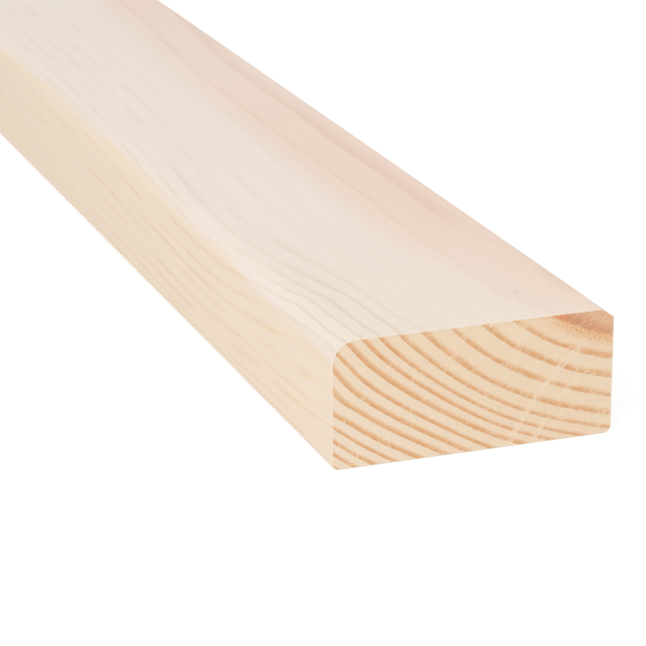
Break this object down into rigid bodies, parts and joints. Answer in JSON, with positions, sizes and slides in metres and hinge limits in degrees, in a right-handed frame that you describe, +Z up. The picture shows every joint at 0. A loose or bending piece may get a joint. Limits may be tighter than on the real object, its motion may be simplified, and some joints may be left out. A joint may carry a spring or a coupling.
{
  "type": "timber plank",
  "caption": "Straight planed softwood plank of rectangular section with eased long arrises and square-sawn ends, used as framing or cladding stock.",
  "frame": {"origin": "under the middle of the plank, on the plane that its underside rests on", "axes": "+X along the length towards the pictured end, +Y across the width, +Z up through the thickness"},
  "size_m": [1.8, 0.09, 0.04],
  "materials": {
    "timber": "planed and unfinished, with sawn end grain"
  },
  "bodies": {
    "root": {"plank": "timber"}
  },
  "joints": []
}
